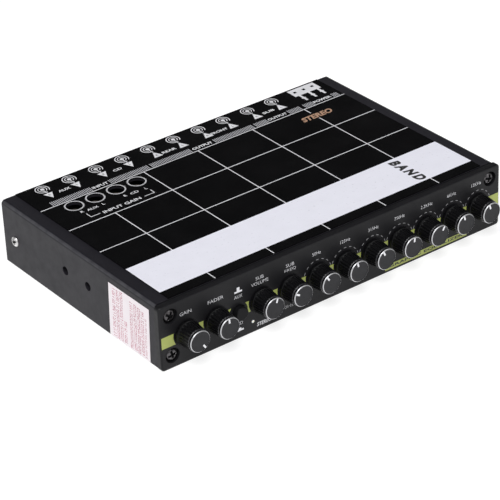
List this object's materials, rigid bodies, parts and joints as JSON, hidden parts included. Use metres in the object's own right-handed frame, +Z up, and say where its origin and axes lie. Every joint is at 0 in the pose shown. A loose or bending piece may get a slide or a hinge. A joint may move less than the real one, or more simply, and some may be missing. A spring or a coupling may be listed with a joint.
{
  "type": "graphic equalizer",
  "caption": "Shallow black in-dash car audio equalizer with a row of rotary knobs, a push button, a printed top with gain trimmers and rear phono sockets.",
  "frame": {"origin": "centre of the case's bottom face", "axes": "+X to the right seen from the front, +Y to the rear, +Z up"},
  "size_m": [0.18, 0.1334, 0.0298],
  "materials": {
    "black_steel": "fine satin black powder coat",
    "gloss_overlay": "glossy black printed sheet",
    "panel_plastic": "satin black moulding",
    "black_screw": "black nickel plated",
    "nickel_screw": "nickel plated",
    "label_paper": "coated paper sticker",
    "circuit_board": "green solder mask",
    "brass": "turned brass",
    "black_insulator": "moulded black plastic",
    "capacitor_can": "shrink sleeve",
    "copper_winding": "lacquered copper wire",
    "pot_body": "stamped steel body",
    "button_plastic": "matte black cap",
    "white_plastic": "moulded plastic",
    "led_lens": "milky lens",
    "nickel_shell": "nickel plated brass",
    "plug_plastic": "moulded black plastic",
    "knob_plastic": "ribbed black knob with a bright ring",
    "shaft_metal": "turned shaft",
    "trimmer_plastic": "dark rotor"
  },
  "bodies": {
    "case": {"amplifier_chips": "black_insulator", "band_pots": "pot_body", "board_link": "black_insulator", "board_screws": "nickel_screw", "board_standoffs": "brass", "bottom_chassis": "black_steel", "capacitors": "capacitor_can", "control_board": "circuit_board", "cover_screws": "nickel_screw", "fader_pot": "pot_body", "front_panel": "panel_plastic", "front_panel_screws": "black_screw", "gain_pot": "pot_body", "header_pins": "nickel_shell", "main_board": "circuit_board", "phono_contacts": "nickel_shell", "phono_housings": "black_insulator", "phono_insulators": "white_plastic", "phono_shells": "nickel_shell", "pot_nuts": "nickel_screw", "power_header": "black_insulator", "power_led": "led_lens", "side_label": "label_paper", "sub_frequency_pot": "pot_body", "sub_volume_pot": "pot_body", "supply_choke": "copper_winding", "switch_body": "black_insulator", "top_cover": "black_steel", "top_overlay": "gloss_overlay", "trimmer_bodies": "black_insulator"},
    "gain_control": {"gain_knob": "knob_plastic", "gain_shaft": "shaft_metal"},
    "fader_control": {"fader_knob": "knob_plastic", "fader_shaft": "shaft_metal"},
    "sub_volume_control": {"sub_volume_knob": "knob_plastic", "sub_volume_shaft": "shaft_metal"},
    "sub_frequency_control": {"sub_frequency_knob": "knob_plastic", "sub_frequency_shaft": "shaft_metal"},
    "band_1_control": {"band_1_knob": "knob_plastic", "band_1_shaft": "shaft_metal"},
    "band_2_control": {"band_2_knob": "knob_plastic", "band_2_shaft": "shaft_metal"},
    "band_3_control": {"band_3_knob": "knob_plastic", "band_3_shaft": "shaft_metal"},
    "band_4_control": {"band_4_knob": "knob_plastic", "band_4_shaft": "shaft_metal"},
    "band_5_control": {"band_5_knob": "knob_plastic", "band_5_shaft": "shaft_metal"},
    "band_6_control": {"band_6_knob": "knob_plastic", "band_6_shaft": "shaft_metal"},
    "band_7_control": {"band_7_knob": "knob_plastic", "band_7_shaft": "shaft_metal"},
    "push_button": {"button_cap": "button_plastic", "switch_plunger": "white_plastic"},
    "gain_trimmer_1": {"trimmer_rotor_1": "trimmer_plastic"},
    "gain_trimmer_2": {"trimmer_rotor_2": "trimmer_plastic"},
    "gain_trimmer_3": {"trimmer_rotor_3": "trimmer_plastic"},
    "gain_trimmer_4": {"trimmer_rotor_4": "trimmer_plastic"},
    "terminal_plug": {"power_plug": "plug_plastic", "plug_screws": "black_screw"}
  },
  "joints": [
    {"name": "gain_turn", "type": "hinge", "parent": "case", "child": "gain_control", "pos_m": [-0.077, -0.0575, 0.0139], "axis": [0, 1, 0], "range_deg": [-297, 3]},
    {"name": "fader_turn", "type": "hinge", "parent": "case", "child": "fader_control", "pos_m": [-0.0624, -0.0575, 0.0139], "axis": [0, 1, 0], "range_deg": [-146, 154]},
    {"name": "sub_volume_turn", "type": "hinge", "parent": "case", "child": "sub_volume_control", "pos_m": [-0.0398, -0.0575, 0.0139], "axis": [0, 1, 0], "range_deg": [-167, 133]},
    {"name": "sub_frequency_turn", "type": "hinge", "parent": "case", "child": "sub_frequency_control", "pos_m": [-0.0252, -0.0575, 0.0139], "axis": [0, 1, 0], "range_deg": [-90, 210]},
    {"name": "band_1_turn", "type": "hinge", "parent": "case", "child": "band_1_control", "pos_m": [-0.0106, -0.0575, 0.0139], "axis": [0, 1, 0], "range_deg": [-117, 183]},
    {"name": "band_2_turn", "type": "hinge", "parent": "case", "child": "band_2_control", "pos_m": [0.004, -0.0575, 0.0139], "axis": [0, 1, 0], "range_deg": [-136, 164]},
    {"name": "band_3_turn", "type": "hinge", "parent": "case", "child": "band_3_control", "pos_m": [0.0186, -0.0575, 0.0139], "axis": [0, 1, 0], "range_deg": [-126, 174]},
    {"name": "band_4_turn", "type": "hinge", "parent": "case", "child": "band_4_control", "pos_m": [0.0332, -0.0575, 0.0139], "axis": [0, 1, 0], "range_deg": [-157, 143]},
    {"name": "band_5_turn", "type": "hinge", "parent": "case", "child": "band_5_control", "pos_m": [0.0478, -0.0575, 0.0139], "axis": [0, 1, 0], "range_deg": [-183, 117]},
    {"name": "band_6_turn", "type": "hinge", "parent": "case", "child": "band_6_control", "pos_m": [0.0624, -0.0575, 0.0139], "axis": [0, 1, 0], "range_deg": [-134, 166]},
    {"name": "band_7_turn", "type": "hinge", "parent": "case", "child": "band_7_control", "pos_m": [0.077, -0.0575, 0.0139], "axis": [0, 1, 0], "range_deg": [-131, 169]},
    {"name": "button_press", "type": "slide", "parent": "case", "child": "push_button", "axis": [0, 1, 0], "range_m": [-0.003, 0.0006]},
    {"name": "trimmer_1_turn", "type": "hinge", "parent": "case", "child": "gain_trimmer_1", "pos_m": [-0.0686, 0.0324, 0.0227], "axis": [0, 0, -1], "range_deg": [-135, 135]},
    {"name": "trimmer_2_turn", "type": "hinge", "parent": "case", "child": "gain_trimmer_2", "pos_m": [-0.05794, 0.0324, 0.0227], "axis": [0, 0, -1], "range_deg": [-135, 135]},
    {"name": "trimmer_3_turn", "type": "hinge", "parent": "case", "child": "gain_trimmer_3", "pos_m": [-0.04728, 0.0324, 0.0227], "axis": [0, 0, -1], "range_deg": [-135, 135]},
    {"name": "trimmer_4_turn", "type": "hinge", "parent": "case", "child": "gain_trimmer_4", "pos_m": [-0.03662, 0.0324, 0.0227], "axis": [0, 0, -1], "range_deg": [-135, 135]},
    {"name": "plug_pull", "type": "slide", "parent": "case", "child": "terminal_plug", "axis": [0, 1, 0], "range_m": [0, 0.016]}
  ]
}
